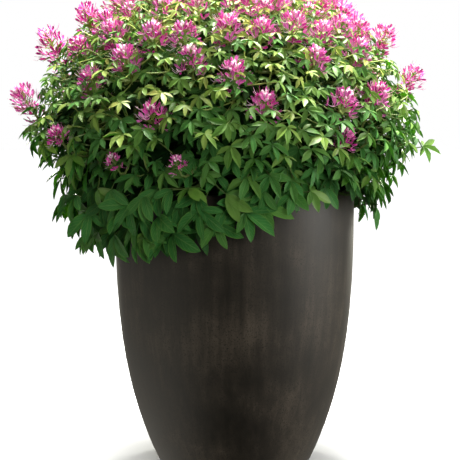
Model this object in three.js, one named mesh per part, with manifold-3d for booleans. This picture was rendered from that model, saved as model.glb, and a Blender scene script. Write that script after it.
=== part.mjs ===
// Potted spider flower: leafy stems and pink flower heads, grown as one round bush in a tall fibre-clay pot.
// Millimetres, +Z up, origin on the ground under the middle of the pot, front of the plant towards -Y.
import * as THREE from "three";
import { mergeVertices } from "three/addons/utils/BufferGeometryUtils.js";
import Module from "manifold-3d";

const wasm = await Module();
wasm.setup();

// Pot
const POT_HEIGHT = 545;
const RIM_RADIUS = 239;
const BASE_RADIUS = 154;
const BELLY_POWER = 3.1; // how soon the wall turns upright on its way up
const POT_WALL = 16;
const POT_FLOOR = 24;
const BASE_ARRIS = 5;
const RIM_ARRIS = 3;
const POT_SIDES = 32;
const WALL_LEVELS = [55, 120, 200, 320];
const DRAIN_HOLES = 3;
const DRAIN_RADIUS = 10;
const DRAIN_CIRCLE = 85;
const DRAIN_SIDES = 6;

// Soil, and the clearance that every touching piece keeps
const SOIL_LEVEL = 505;
const SOIL_CROWN = 6; // how much higher its middle is
const GAP = 0.3;
const ROOT_DEPTH = 70;

// Outline of the bush: a ball around a centre above the pot, which steps in below its widest level
const BUSH_CENTRE = 600;
const BUSH_SIDE = -20; // the bush leans a little to the left of the pot
const BUSH_RADIUS = 398;
const BUSH_RISE = 400;
const BUSH_DROP = 300;
const BUSH_SQUARENESS = 2.15;
const BUSH_WAIST = 0.16; // share of the radius that the step takes
const WAIST_FROM = 10; // elevations between which it steps in, in degrees
const WAIST_TO = -3;

// Stems stand in rings. Each rises from its hole in the soil to a dense middle that its leaves stand out of.
const STEM_RINGS = [
  { count: 7, turn: 12, foot: 125, middle: 214, height: 660, size: [84, 84, 94] },
  { count: 5, turn: 30, foot: 62, middle: 125, height: 814, size: [66, 66, 74] },
  { count: 1, turn: 0, foot: 0, middle: 0, height: 866, size: [58, 58, 58] },
];
const STEM_RADIUS = 9;
const STEM_TAPER = 0.65;
const STEM_SIDES = 4;
const MIDDLE_SIZE = 1.06; // against its stem's size
const MIDDLE_LUMPS = 0.3;
const SHOOT_RADIUS = 3.2;
const SHOOT_SIDES = 3;
const SHOOT_BEND = 0.45;
const ROOT_SHARE = 0.6; // how far from the heart of the dense middle shoots and leaf stalks start

// Leaves, hand-shaped, longest where they hang over the rim
const LEAF_PLACES = 160;
const LEAF_CROWDING = 1.22; // over 1 sets more of them low on the bush
const LEAF_LOWEST = -19;
const LEAF_HIGHEST = 82;
const LEAFLET_AT_RIM = 92;
const LEAFLET_AT_CROWN = 72;
const INSET_AT_RIM = 30; // of a leaf's hub from the outline of the bush
const INSET_AT_CROWN = 62;
const FACING_AT_RIM = 12; // elevation that the blade faces, in degrees
const FACING_AT_CROWN = 80;
const LEAF_THICKNESS = 1.8;
const HUB_RADIUS = 0.085; // of the leaflet's length
const LEAFLET_ANGLE = 50;
const CROWN_LEAFLET_ANGLE = 58; // between the leaflets of a leaf of three
const BACK_ANGLE = 125; // from the middle leaflet round to the stalk's side
const SIDE_SHORTENING = 0.3; // of the outermost leaflets
const LEAF_ARCH = 0.19;
const TIP_DROP = 0.22;
const STALK_TAPER = 0.8;
const LEAF_CLEARANCE = 3;
const LEAF_ATTEMPTS = 10;
const LEAF_SWAY = { turn: 12, tilt: 9, roll: 24, depth: 7 }; // either way, in degrees and millimetres
const LEAF_SHIFT = { turn: 1.2, raise: 0.8, depth: 3, size: 0.02 }; // more at each attempt

// The hem rises at the right of the front, and shows the rim of the pot
const HEM_RISE = 13; // degrees that the lowest leaves move up
const HEM_RISE_AT = 46; // bearing of its middle
const HEM_RISE_POWER = 3; // more makes it narrower
const HEM_RISE_HEIGHT = 22; // degrees over the lowest leaves where it ends
const HEM_SHORTENING = 0.22; // of the leaves there

// Half the outline of a leaflet, from base to tip: [share of the length, half width as a share of the length]
const LOW_LEAFLET = [
  [0.36, 0.205],
  [0.68, 0.165],
];
const HIGH_LEAFLET = [[0.52, 0.235]];
const LOW_LEAVES_TO = 2; // leaves up to this elevation have the fuller outline
const CROWN_LEAVES_FROM = 46; // leaves above this one have three leaflets

// Flower heads
const HEAD_SIDES = 5;
const HEAD_CORE = 10;
const HEAD_CORE_FOOT = 15;
const HEAD_CORE_TOP = 36;
const PETAL_REACH = 37;
const PETAL_HALF_WIDTH = 9.5;
const PETAL_WIDEST = { out: 0.68, lift: 0.1 }; // shares of its length
const PETAL_TIP = { out: 1, lift: 0.22 };
const WHORL_SHARE = 0.82; // of the upper petals' length, for the lower ones
const WHORL_LIFT = 17; // degrees over the level
const UPPER_LIFT = 56;
const BUD_REACH = 36;
const BUD_LEAN = 5;
const HEAD_ATTEMPTS = 40;
const HEAD_SHIFT = { turn: 0.4, drop: 0.3 }; // degrees, more at each attempt
const HEAD_DEPTH = 62; // from the outline of the bush down to the foot of a head
const HEAD_UPRIGHT = 1.27; // pull of the sky against the pull outwards
const SPRAY_SPREAD = 60;
const SECOND_HEAD = 0.92; // its size against the first one on the shoot
const LINK_RADIUS = 2.4;
const LINK_HEIGHT = 12; // of the shoot between two heads, over their feet

// Heads that stand alone on the side that faces front: bearing from the front, and elevation, in degrees
const FRONT_HEADS = [
  { bearing: -36, elevation: 30.5 },
  { bearing: -49, elevation: 23 },
  { bearing: -65, elevation: 34.5, scale: 0.8 },
  { bearing: -11, elevation: 30 },
  { bearing: -22, elevation: 12.5 },
  { bearing: 3, elevation: 25 },
  { bearing: 12, elevation: 16 },
  { bearing: 32, elevation: 30 },
  { bearing: 58, elevation: 18.5 },
  { bearing: 56, elevation: 33.5, scale: 0.9 },
  { bearing: -49, elevation: 40 },
  { bearing: -83, elevation: 44.5, reach: 1.05 },
  { bearing: -57, elevation: 6.5, reach: 1.05, scale: 0.7 },
  { bearing: -33, elevation: 0, reach: 1.15, scale: 0.6 },
  { bearing: -13, elevation: 0, reach: 1.15, scale: 0.6 },
  { bearing: -88, elevation: 32, reach: 1.13, scale: 1.1 },
  { bearing: -90, elevation: 15, reach: 1.15 },
  { bearing: 86, elevation: 22.5, reach: 1.1, scale: 0.85 },
  { bearing: 80, elevation: 36, reach: 1.07, scale: 0.9 },
  { bearing: 40, elevation: 11.5, pair: 8 },
  { bearing: -21, elevation: 39, pair: 80 },
  { bearing: 8, elevation: 41, pair: 90 },
  { bearing: 35, elevation: 41.5, pair: 100 },
  { bearing: 63, elevation: 42, pair: 70 },
];

// The other heads are spread over the crown and the back by the golden angle
const CROWN_PLACES = 29;
const FRONT_SECTOR = 97; // bearings up to this one, either way, are left to the front heads
const FRONT_CROWN_FROM = 47; // but for elevations over this one
const CROWN_LOWEST = 20;
const SPRAYS_FROM = 40;
const GOLDEN_ANGLE = 137.508;

const UP = new THREE.Vector3(0, 0, 1);
const radians = THREE.MathUtils.degToRad;
const lerp = THREE.MathUtils.lerp;

const FINISHES = {
  clay: { color: 0x34322f, roughness: 0.85, metalness: 0 },
  soil: { color: 0x2c2018, roughness: 1, metalness: 0 },
  leaf: { color: 0x3d6b2e, roughness: 0.6, metalness: 0 },
  petal: { color: 0xc9609c, roughness: 0.7, metalness: 0 },
};

// A repeatable random number from 0 to 1 for a seed.
function seeded(seed) {
  let state = seed;
  return () => {
    state = (state + 0x6d2b79f5) | 0;
    let mixed = Math.imul(state ^ (state >>> 15), 1 | state);
    mixed = (mixed + Math.imul(mixed ^ (mixed >>> 7), 61 | mixed)) ^ mixed;
    return ((mixed ^ (mixed >>> 14)) >>> 0) / 4294967296;
  };
}

// A closed geometry as a solid that can be joined and cut.
function solid(geometry) {
  const bare = new THREE.BufferGeometry();
  bare.setAttribute("position", geometry.getAttribute("position"));
  bare.setIndex(geometry.getIndex());
  const merged = mergeVertices(bare, 1e-3);
  const corners = merged.index.array;
  const kept = [];
  for (let i = 0; i < corners.length; i += 3) {
    const [a, b, c] = corners.slice(i, i + 3);
    if (a !== b && b !== c && c !== a) kept.push(a, b, c);
  }
  const vertProperties = merged.attributes.position.array;
  return new wasm.Manifold(new wasm.Mesh({ numProp: 3, vertProperties, triVerts: new Uint32Array(kept) }));
}

function geometryOf(body) {
  const mesh = body.getMesh();
  const geometry = new THREE.BufferGeometry();
  geometry.setAttribute("position", new THREE.BufferAttribute(mesh.vertProperties, 3));
  geometry.setIndex(new THREE.BufferAttribute(mesh.triVerts, 1));
  geometry.computeVertexNormals();
  return geometry;
}

// Points and faces written out one by one, for leaves and petals.
function surface(points, faces) {
  const geometry = new THREE.BufferGeometry();
  geometry.setAttribute("position", new THREE.Float32BufferAttribute(points.flatMap((p) => p.toArray()), 3));
  geometry.setIndex(faces.flat());
  return geometry;
}

function direction(bearing, elevation) {
  const flat = Math.cos(radians(elevation));
  const turn = radians(bearing);
  return new THREE.Vector3(Math.sin(turn) * flat, -Math.cos(turn) * flat, Math.sin(radians(elevation)));
}

// Distance from the centre of the bush to its outline.
function bushRadius(elevation) {
  const height = elevation > 0 ? BUSH_RISE : BUSH_DROP;
  const flat = Math.abs(Math.cos(radians(elevation))) / BUSH_RADIUS;
  const steep = Math.abs(Math.sin(radians(elevation))) / height;
  const below = (WAIST_FROM - elevation) / (WAIST_FROM - WAIST_TO);
  const waist = 1 - BUSH_WAIST * THREE.MathUtils.smoothstep(below, 0, 1);
  return waist * (flat ** BUSH_SQUARENESS + steep ** BUSH_SQUARENESS) ** (-1 / BUSH_SQUARENESS);
}

function bushPoint(bearing, elevation, distance) {
  return direction(bearing, elevation)
    .multiplyScalar(distance)
    .add(new THREE.Vector3(BUSH_SIDE, 0, BUSH_CENTRE));
}

// A lathed solid about Z from its profile of [radius, height] corners, listed upwards on the outside.
function lathed(profile, sides) {
  const corners = profile.map(([radius, height]) => new THREE.Vector2(radius, height));
  return solid(new THREE.LatheGeometry(corners, sides).rotateX(Math.PI / 2));
}

// A tapered straight rod between two points.
function rod(from, to, startRadius, endRadius, sides) {
  const along = to.clone().sub(from);
  const standing = new THREE.Vector3(0, 1, 0);
  const turn = new THREE.Quaternion().setFromUnitVectors(standing, along.clone().normalize());
  const geometry = new THREE.CylinderGeometry(endRadius, startRadius, along.length(), sides, 1)
    .applyQuaternion(turn)
    .translate(...from.clone().add(to).multiplyScalar(0.5).toArray());
  return solid(geometry);
}

// A thin shoot that leaves its stem straight and arrives along a given direction.
function shoot(from, to, arrival, radius) {
  const bend = to.clone().addScaledVector(arrival, -SHOOT_BEND * from.distanceTo(to));
  const path = new THREE.QuadraticBezierCurve3(from, bend, to);
  const section = new THREE.Shape();
  for (let side = 0; side < SHOOT_SIDES; side += 1) {
    const angle = (side * 2 * Math.PI) / SHOOT_SIDES;
    const corner = [radius * Math.cos(angle), radius * Math.sin(angle)];
    if (side === 0) section.moveTo(...corner);
    else section.lineTo(...corner);
  }
  section.closePath();
  return solid(new THREE.ExtrudeGeometry(section, { steps: 2, bevelEnabled: false, extrudePath: path }));
}

const potRadius = (height) =>
  RIM_RADIUS - (RIM_RADIUS - BASE_RADIUS) * (1 - height / POT_HEIGHT) ** BELLY_POWER;
const innerRadius = (height) => potRadius(height) - POT_WALL;
const INNER_LEVELS = [POT_FLOOR, 160, SOIL_LEVEL];

// One lathed wall and floor, with drain holes through the floor.
function makePot() {
  const outside = WALL_LEVELS.map((height) => [potRadius(height), height]);
  const inside = [...INNER_LEVELS].reverse().map((height) => [innerRadius(height), height]);
  const profile = [
    [0, 0],
    [BASE_RADIUS - BASE_ARRIS, 0],
    [potRadius(BASE_ARRIS), BASE_ARRIS],
    ...outside,
    [RIM_RADIUS, POT_HEIGHT - RIM_ARRIS],
    [RIM_RADIUS - RIM_ARRIS, POT_HEIGHT],
    [innerRadius(POT_HEIGHT), POT_HEIGHT],
    ...inside,
    [0, POT_FLOOR],
  ];
  let pot = lathed(profile, POT_SIDES);
  for (let hole = 0; hole < DRAIN_HOLES; hole += 1) {
    const middle = direction((hole * 360) / DRAIN_HOLES, 0).multiplyScalar(DRAIN_CIRCLE);
    const below = middle.clone().setZ(-POT_FLOOR);
    const above = middle.clone().setZ(2 * POT_FLOOR);
    pot = pot.subtract(rod(below, above, DRAIN_RADIUS, DRAIN_RADIUS, DRAIN_SIDES));
  }
  return pot;
}

// Soil up to a little below the rim, with a plain hole for each stem.
function makeSoil() {
  const wall = INNER_LEVELS.map((height) => [innerRadius(height) - GAP, Math.max(height, POT_FLOOR + GAP)]);
  const profile = [[0, POT_FLOOR + GAP], ...wall, [0, SOIL_LEVEL + SOIL_CROWN]];
  let soil = lathed(profile, POT_SIDES);
  for (const stem of stems) {
    const along = stem.middle.clone().sub(stem.foot).normalize();
    const bottom = stem.foot.clone().addScaledVector(along, -GAP);
    const top = bottom.clone().addScaledVector(along, 2 * ROOT_DEPTH);
    soil = soil.subtract(rod(bottom, top, STEM_RADIUS + 2 * GAP, STEM_RADIUS + 2 * GAP, STEM_SIDES));
  }
  return soil;
}

// Where each stem stands and where its dense middle is.
function placeStems() {
  const stems = [];
  for (const ring of STEM_RINGS) {
    for (let place = 0; place < ring.count; place += 1) {
      const bearing = ring.turn + (place * 360) / ring.count;
      const out = direction(bearing, 0);
      const middle = out.clone().multiplyScalar(ring.middle).setZ(ring.height);
      middle.x += BUSH_SIDE;
      const surfacePoint = out.clone().multiplyScalar(ring.foot).setZ(SOIL_LEVEL);
      const along = middle.clone().sub(surfacePoint).normalize();
      const foot = surfacePoint.addScaledVector(along, -ROOT_DEPTH);
      stems.push({ bearing, middle, foot, size: ring.size });
    }
  }
  return stems;
}

// The stem and the lumpy middle of its foliage, as one body.
function makeStem(stem) {
  const core = new THREE.DodecahedronGeometry(MIDDLE_SIZE);
  const merged = mergeVertices(core.deleteAttribute("normal").deleteAttribute("uv"), 1e-4);
  const spots = merged.attributes.position;
  for (let i = 0; i < spots.count; i += 1) {
    const shrink = 1 - MIDDLE_LUMPS * random();
    spots.setXYZ(i, spots.getX(i) * shrink, spots.getY(i) * shrink, spots.getZ(i) * shrink);
  }
  merged
    .scale(...stem.size)
    .rotateZ(radians(stem.bearing))
    .translate(...stem.middle.toArray());
  const trunk = rod(stem.foot, stem.middle, STEM_RADIUS, STEM_RADIUS * STEM_TAPER, STEM_SIDES);
  return solid(merged).add(trunk);
}

function nearestStem(point) {
  const distances = stems.map((stem) => point.distanceTo(stem.middle));
  return stems[distances.indexOf(Math.min(...distances))];
}

// The spot on the way from the middle of a stem to a point that lies at a share of the dense middle's size.
function insideMiddle(stem, point, share) {
  const ray = point.clone().sub(stem.middle);
  const local = ray.clone().applyAxisAngle(UP, -radians(stem.bearing));
  const [width, depth, height] = stem.size;
  const reach = 1 / Math.hypot(local.x / width, local.y / depth, local.z / height);
  return stem.middle.clone().addScaledVector(ray, reach * share);
}

// A petal grown out of one face of the head: four faces on one side and three on the other.
// a and b are its base edge, c is the third corner, and the flat side is the one away from c.
function petal(points, faces, [a, b, c], out, side, lift, size, flatAbove) {
  const claw = points[a].clone().add(points[b]).multiplyScalar(0.5);
  const along = (share) =>
    claw
      .clone()
      .addScaledVector(out, share.out * size)
      .addScaledVector(lift, share.lift * size);
  const widest = along(PETAL_WIDEST);
  const halfWidth = PETAL_HALF_WIDTH * (size / PETAL_REACH);
  const left = points.push(widest.clone().addScaledVector(side, -halfWidth)) - 1;
  const right = points.push(widest.clone().addScaledVector(side, halfWidth)) - 1;
  const tip = points.push(along(PETAL_TIP)) - 1;
  if (flatAbove) {
    faces.push([a, left, b], [left, right, b], [left, tip, right]);
    faces.push([c, b, right], [c, right, tip], [c, tip, left], [c, left, a]);
  } else {
    faces.push([a, b, right], [a, right, left], [left, right, tip]);
    faces.push([c, a, left], [c, left, tip], [c, tip, right], [c, right, b]);
  }
}

// One flower head: a whorl of petals around a short core, petals and upright buds above them.
function makeHead(foot, axis, scale, turn) {
  const across = new THREE.Vector3(1, 0, 0).cross(axis).normalize();
  const beside = axis.clone().cross(across);
  const points = [foot.clone()];
  const faces = [];
  const bearingOf = (place) => turn + (place * 2 * Math.PI) / HEAD_SIDES;
  const outwards = (angle) =>
    across.clone().multiplyScalar(Math.cos(angle)).addScaledVector(beside, Math.sin(angle));
  for (let place = 0; place < HEAD_SIDES; place += 1) {
    const corner = foot.clone().addScaledVector(axis, HEAD_CORE_FOOT * scale);
    points.push(corner.addScaledVector(outwards(bearingOf(place)), HEAD_CORE * scale));
  }
  const top = points.push(foot.clone().addScaledVector(axis, HEAD_CORE_TOP * scale)) - 1;
  for (let place = 0; place < HEAD_SIDES; place += 1) {
    const a = 1 + place;
    const b = 1 + ((place + 1) % HEAD_SIDES);
    const middle = outwards(bearingOf(place + 0.5));
    const side = axis.clone().cross(middle);
    const lifted = (angle) =>
      middle
        .clone()
        .multiplyScalar(Math.cos(radians(angle)))
        .addScaledVector(axis, Math.sin(radians(angle)));
    petal(points, faces, [a, b, 0], lifted(WHORL_LIFT), side, axis, PETAL_REACH * scale * WHORL_SHARE, true);
    if (place % 2 === 0 && place < HEAD_SIDES - 1) {
      petal(points, faces, [a, b, top], lifted(UPPER_LIFT), side, middle, PETAL_REACH * scale, false);
    } else {
      const bud = points[a].clone().add(points[b]).add(points[top]).multiplyScalar(1 / 3);
      bud.addScaledVector(axis, BUD_REACH * scale).addScaledVector(middle, BUD_LEAN * scale);
      const tip = points.push(bud) - 1;
      faces.push([a, b, tip], [b, top, tip], [top, a, tip]);
    }
  }
  return solid(surface(points, faces));
}

const anyTurn = () => 2 * Math.PI * random();

// All the places of flower heads: the front ones by hand, the rest by the golden angle.
function placeHeads() {
  const places = FRONT_HEADS.map((head) => ({ reach: 1, scale: 1, pair: null, ...head }));
  const lowest = Math.sin(radians(CROWN_LOWEST));
  for (let place = 0; place < CROWN_PLACES; place += 1) {
    const height = 1 - ((place + 0.5) / CROWN_PLACES) * (1 - lowest);
    const elevation = THREE.MathUtils.radToDeg(Math.asin(height));
    const bearing = ((place * GOLDEN_ANGLE + 360 + 180) % 360) - 180;
    if (Math.abs(bearing) < FRONT_SECTOR && elevation < FRONT_CROWN_FROM) continue;
    const pair = elevation > SPRAYS_FROM ? 360 * random() : null;
    places.push({ bearing, elevation, reach: 1, scale: 0.9 + 0.2 * random(), pair });
  }
  return places;
}

// One or two heads on one shoot, as one body, with the point that the shoot has to reach.
function makeSpray(place) {
  const { bearing, elevation, reach, scale, pair } = place;
  const out = direction(bearing, elevation);
  const axis = out.clone().addScaledVector(UP, HEAD_UPRIGHT).normalize();
  const foot = bushPoint(bearing, elevation, bushRadius(elevation) * reach - HEAD_DEPTH * scale);
  if (pair === null) return { body: makeHead(foot, axis, scale, anyTurn()), foot, axis };
  const across = new THREE.Vector3(1, 0, 0).cross(out).normalize().applyAxisAngle(out, radians(pair));
  const first = foot.clone().addScaledVector(across, -SPRAY_SPREAD / 2);
  const second = foot.clone().addScaledVector(across, SPRAY_SPREAD / 2);
  const linkStart = first.clone().addScaledVector(axis, LINK_HEIGHT * scale);
  const linkEnd = second.clone().addScaledVector(axis, LINK_HEIGHT * scale);
  const body = makeHead(first, axis, scale, anyTurn())
    .add(makeHead(second, axis, scale * SECOND_HEAD, anyTurn()))
    .add(rod(linkStart, linkEnd, LINK_RADIUS, LINK_RADIUS, SHOOT_SIDES));
  return { body, foot: first, axis };
}

// One hand-shaped leaf: leaflets around a hub, as two thin faces that meet along the cut edge, and a stalk
// from the hub to the root.
function makeLeaf({ hub, normal, along, length, leaflets, outline, root, thickness }) {
  const beside = normal.clone().cross(along);
  const points = [];
  const faces = [];
  const add = (point) => points.push(point) - 1;
  const spread = (angle, distance, height = 0) =>
    hub
      .clone()
      .addScaledVector(along, Math.cos(angle) * distance)
      .addScaledVector(beside, Math.sin(angle) * distance)
      .addScaledVector(normal, height);
  const upper = add(spread(0, 0, thickness / 2));
  const lower = add(spread(0, 0, -thickness / 2));
  const step = radians(leaflets === 3 ? CROWN_LEAFLET_ANGLE : LEAFLET_ANGLE);
  const first = (-step * (leaflets - 1)) / 2;
  const valleys = [];
  for (let i = 0; i <= leaflets; i += 1) {
    const limit = radians(BACK_ANGLE);
    const angle = i === 0 ? -limit : i === leaflets ? limit : first + step * (i - 0.5);
    valleys.push(add(spread(angle, HUB_RADIUS * length)));
  }
  for (let i = 0; i < leaflets; i += 1) {
    const angle = first + step * i;
    const reach = length * (1 - SIDE_SHORTENING * (Math.abs(angle) / radians(2 * LEAFLET_ANGLE)) ** 1.5);
    const corner = ([share, half], side) => {
      const swing = Math.atan2(side * half, share);
      return add(spread(angle + swing, Math.hypot(share, half) * reach, -LEAF_ARCH * reach * share ** 2));
    };
    const tip = add(spread(angle, reach, -TIP_DROP * reach));
    const near = outline.map((spot) => corner(spot, -1));
    const far = outline.map((spot) => corner(spot, 1)).reverse();
    const edge = [valleys[i], ...near, tip, ...far, valleys[i + 1]];
    for (let k = 0; k < edge.length - 1; k += 1) {
      faces.push([upper, edge[k], edge[k + 1]], [lower, edge[k + 1], edge[k]]);
    }
  }
  const back = [lower, valleys[0], valleys.at(-1)];
  faces.push([upper, valleys.at(-1), valleys[0]]);
  const middle = back.reduce((sum, i) => sum.add(points[i]), new THREE.Vector3()).multiplyScalar(1 / 3);
  const end = back.map((i) => add(root.clone().addScaledVector(points[i].clone().sub(middle), STALK_TAPER)));
  for (let k = 0; k < 3; k += 1) {
    const next = (k + 1) % 3;
    faces.push([back[k], back[next], end[next]], [back[k], end[next], end[k]]);
  }
  faces.push(end);
  return solid(surface(points, faces));
}

const boxOf = (body) => {
  const { min, max } = body.boundingBox();
  return new THREE.Box3(new THREE.Vector3(...min), new THREE.Vector3(...max));
};

// Bodies that later pieces have to stay clear of.
class Taken {
  constructor() {
    this.pieces = [];
  }

  add(body, owner = null) {
    this.pieces.push({ body, owner, box: boxOf(body) });
  }

  crosses(body, skip) {
    const box = boxOf(body);
    const near = this.pieces.filter((piece) => piece.owner !== skip && piece.box.intersectsBox(box));
    return near.some((piece) => !piece.body.intersect(body).isEmpty());
  }
}

// How far the hem is raised at a place on the outline of the bush, from 0 to 1.
function hemRise(bearing, elevation) {
  const side = Math.max(0, Math.cos(radians(bearing - HEM_RISE_AT))) ** HEM_RISE_POWER;
  return side * Math.max(0, 1 - (elevation - LEAF_LOWEST) / HEM_RISE_HEIGHT);
}

// A leaf of the bush for one place on its outline, bent a few ways until it is clear of everything else.
function growLeaf(bearing, levelElevation) {
  const raised = hemRise(bearing, levelElevation);
  const elevation = levelElevation + HEM_RISE * raised;
  const height = (elevation - LEAF_LOWEST) / (LEAF_HIGHEST - LEAF_LOWEST);
  const shortening = 1 - HEM_SHORTENING * raised;
  const full = lerp(LEAFLET_AT_RIM, LEAFLET_AT_CROWN, height) * shortening * (0.92 + 0.16 * random());
  const leaflets = elevation > CROWN_LEAVES_FROM ? 3 : 5;
  const outline = elevation > LOW_LEAVES_TO ? HIGH_LEAFLET : LOW_LEAFLET;
  const either = (range) => range * (2 * random() - 1);
  for (let attempt = 0; attempt < LEAF_ATTEMPTS; attempt += 1) {
    const turn = bearing + either(LEAF_SHIFT.turn * attempt);
    const raise = elevation + either(LEAF_SHIFT.raise * attempt);
    const inset = lerp(INSET_AT_RIM, INSET_AT_CROWN, height) + either(LEAF_SWAY.depth);
    const hub = bushPoint(turn, raise, bushRadius(raise) - inset - LEAF_SHIFT.depth * attempt);
    const tilt = lerp(FACING_AT_RIM, FACING_AT_CROWN, height ** 1.1) + either(LEAF_SWAY.tilt);
    const normal = direction(turn + either(LEAF_SWAY.turn), tilt);
    const fall = UP.clone().negate().addScaledVector(normal, normal.z).normalize();
    const along = fall.applyAxisAngle(normal, radians(either(LEAF_SWAY.roll)));
    const stem = nearestStem(hub);
    const length = full * (1 - LEAF_SHIFT.size * attempt);
    const shape = { hub, normal, along, length, leaflets, outline, thickness: LEAF_THICKNESS };
    const thick = LEAF_THICKNESS + 2 * LEAF_CLEARANCE;
    const guarded = makeLeaf({ ...shape, root: insideMiddle(stem, hub, 1.05), thickness: thick });
    if (taken.crosses(guarded)) continue;
    const body = makeLeaf({ ...shape, root: insideMiddle(stem, hub, ROOT_SHARE) });
    if (taken.crosses(body, stem)) continue;
    return { body, stem };
  }
  return null;
}

const random = seeded(7);
const stems = placeStems();
const taken = new Taken();
const pot = makePot();
const soil = makeSoil();
taken.add(pot);
taken.add(soil);

stems.forEach((stem) => {
  stem.parts = [makeStem(stem)];
  taken.add(stem.parts[0], stem);
});

const sprays = [];
for (const place of placeHeads()) {
  let spray = makeSpray(place);
  for (let attempt = 1; attempt < HEAD_ATTEMPTS && taken.crosses(spray.body); attempt += 1) {
    const pair = place.pair === null ? null : 360 * random();
    const bearing = place.bearing + HEAD_SHIFT.turn * attempt * (2 * random() - 1);
    const elevation = place.elevation - HEAD_SHIFT.drop * attempt * random();
    spray = makeSpray({ ...place, pair, bearing, elevation });
  }
  taken.add(spray.body);
  sprays.push(spray);
}

for (const { foot, axis } of sprays) {
  const stem = nearestStem(foot);
  const end = foot.clone().addScaledVector(axis, -GAP);
  const body = shoot(insideMiddle(stem, foot, ROOT_SHARE), end, axis, SHOOT_RADIUS);
  stem.parts.push(body);
  taken.add(body, stem);
}

const lowest = Math.sin(radians(LEAF_LOWEST));
const highest = Math.sin(radians(LEAF_HIGHEST));
for (let place = 0; place < LEAF_PLACES; place += 1) {
  const height = lerp(lowest, highest, ((place + 0.5) / LEAF_PLACES) ** LEAF_CROWDING);
  const elevation = THREE.MathUtils.radToDeg(Math.asin(height));
  const leaf = growLeaf(place * GOLDEN_ANGLE, elevation);
  if (!leaf) continue;
  leaf.stem.parts.push(leaf.body);
  taken.add(leaf.body, leaf.stem);
}

const group = new THREE.Group();
const named = (name, body, finish) => {
  const mesh = new THREE.Mesh(geometryOf(body), new THREE.MeshStandardMaterial(finish));
  mesh.name = name;
  group.add(mesh);
};
const numbered = (name, i) => `${name}_${String(i + 1).padStart(2, "0")}`;

named("pot", pot, FINISHES.clay);
named("soil", soil, FINISHES.soil);
stems.forEach((stem, i) => {
  named(numbered("leafy_stem", i), wasm.Manifold.union(stem.parts), FINISHES.leaf);
});
sprays.forEach((spray, i) => {
  named(numbered("flower_head", i), spray.body, FINISHES.petal);
});

export default group;
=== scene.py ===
# Potted spider flower: a round bush of hand-shaped leaves and pink flower heads, in a tall dark clay pot.
# Metres, +Z up, origin on the ground under the middle of the pot, front of the plant towards -Y.
import math
import random

import bmesh
import bpy
from mathutils import Matrix, Vector, kdtree


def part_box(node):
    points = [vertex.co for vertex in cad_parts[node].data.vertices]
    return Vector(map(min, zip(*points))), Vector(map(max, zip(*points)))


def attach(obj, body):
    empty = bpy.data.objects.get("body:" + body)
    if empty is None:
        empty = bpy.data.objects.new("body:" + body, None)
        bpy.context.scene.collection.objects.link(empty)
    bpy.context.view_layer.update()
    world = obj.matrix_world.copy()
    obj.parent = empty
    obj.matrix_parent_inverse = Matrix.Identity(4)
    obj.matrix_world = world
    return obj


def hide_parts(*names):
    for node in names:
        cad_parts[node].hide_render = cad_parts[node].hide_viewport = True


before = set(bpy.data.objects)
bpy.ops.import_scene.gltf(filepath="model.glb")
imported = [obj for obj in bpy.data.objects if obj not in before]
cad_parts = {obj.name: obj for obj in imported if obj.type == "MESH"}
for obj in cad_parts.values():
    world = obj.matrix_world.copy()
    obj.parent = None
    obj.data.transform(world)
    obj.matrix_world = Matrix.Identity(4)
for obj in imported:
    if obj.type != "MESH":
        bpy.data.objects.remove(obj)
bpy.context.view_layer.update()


# Camera, floor and studio light
# Floor and backdrop are plain white. Softboxes hang over the bush and stand behind it and at its right. The
# weak one in front stays out of reflections. The room is dark low in front and lightest low at the left, so
# that the front of the pot reflects its dark side and the flanks its light one.
CAMERA_PLACE = (-0.009, -3.2, 0.75)
LOOKED_AT_HEIGHT = 0.46
IMAGE_SIDE = 460
FOCAL_PIXELS = 1600
FLOOR_SIZE = 30
FLOOR_LEVEL = -0.0005
ROOM_ABOVE = 0.26
ROOM_AROUND = 0.24
ROOM_BELOW = 0.3
ROOM_BELOW_LEFT = 0.5
SOFTBOXES = [
    # name, place, what it faces, width and height, watts, colour
    ("overhead", (0.3, 0.2, 2.5), (0, 0, 0.7), (0.9, 0.9), 225, (1.0, 0.98, 0.92)),
    ("back_left", (-1.0, 2.3, 1.05), (0, 0, 0.7), (0.5, 1.0), 120, (1.0, 0.98, 0.82)),
    ("back_right", (1.2, 2.2, 1.05), (0, 0, 0.7), (0.5, 1.0), 120, (1.0, 0.98, 0.82)),
    ("side_right", (2.4, -0.5, 0.95), (0, 0, 0.5), (1.0, 1.2), 38, (1.0, 0.97, 0.92)),
    ("front", (0.7, -2.9, 1.0), (0, 0, 0.6), (0.8, 0.8), 32, (1.0, 1.0, 1.0)),
]


def only(*objects):
    """Selects these objects alone and makes the first one active."""
    bpy.ops.object.select_all(action="DESELECT")
    for piece in objects:
        piece.select_set(True)
    bpy.context.view_layer.objects.active = objects[0]


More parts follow.
